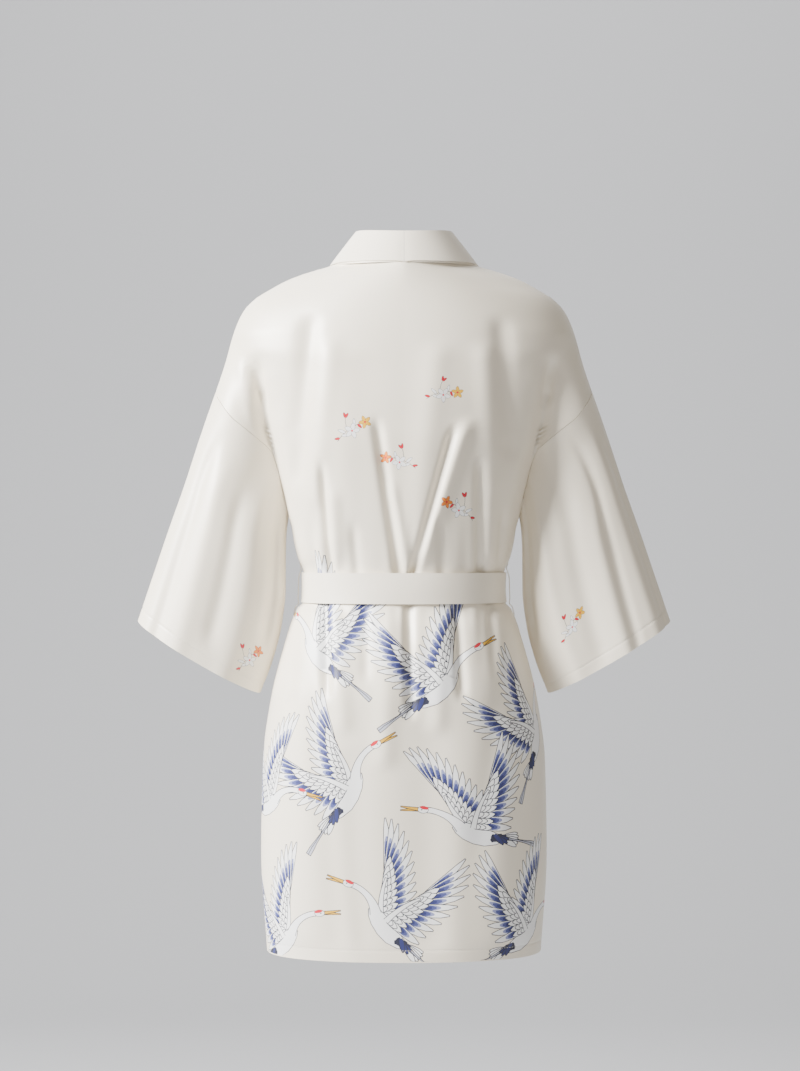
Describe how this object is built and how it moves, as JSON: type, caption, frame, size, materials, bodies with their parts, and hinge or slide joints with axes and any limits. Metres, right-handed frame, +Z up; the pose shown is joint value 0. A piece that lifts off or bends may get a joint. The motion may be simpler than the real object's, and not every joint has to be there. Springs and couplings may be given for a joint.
{
  "type": "kimono robe",
  "caption": "Short satin kimono robe in its worn, hollow form, with wide sleeves, a collar band down the fronts and a tied belt.",
  "frame": {"origin": "middle of the neck opening at the height of the shoulders' neck points, where the wearer's shoulders hold the robe", "axes": "+Z up, the front faces -Y, +X to the wearer's left"},
  "size_m": [0.6384, 0.2358, 0.8585],
  "materials": {
    "satin_back": "ivory satin with printed birds and flowers",
    "satin_front": "ivory satin with printed birds and flowers",
    "satin_sleeve": "ivory satin",
    "satin_band": "ivory satin, double",
    "satin_belt": "ivory satin, double",
    "satin_loop": "ivory satin tube"
  },
  "bodies": {
    "root": {"back_panel": "satin_back", "front_left": "satin_front", "front_right": "satin_front", "sleeve_left": "satin_sleeve", "sleeve_right": "satin_sleeve", "collar_left": "satin_band", "collar_right": "satin_band", "belt_band": "satin_belt", "belt_knot": "satin_belt", "belt_tail_left": "satin_belt", "belt_tail_right": "satin_belt", "belt_loop_left": "satin_loop", "belt_loop_right": "satin_loop"}
  },
  "joints": []
}
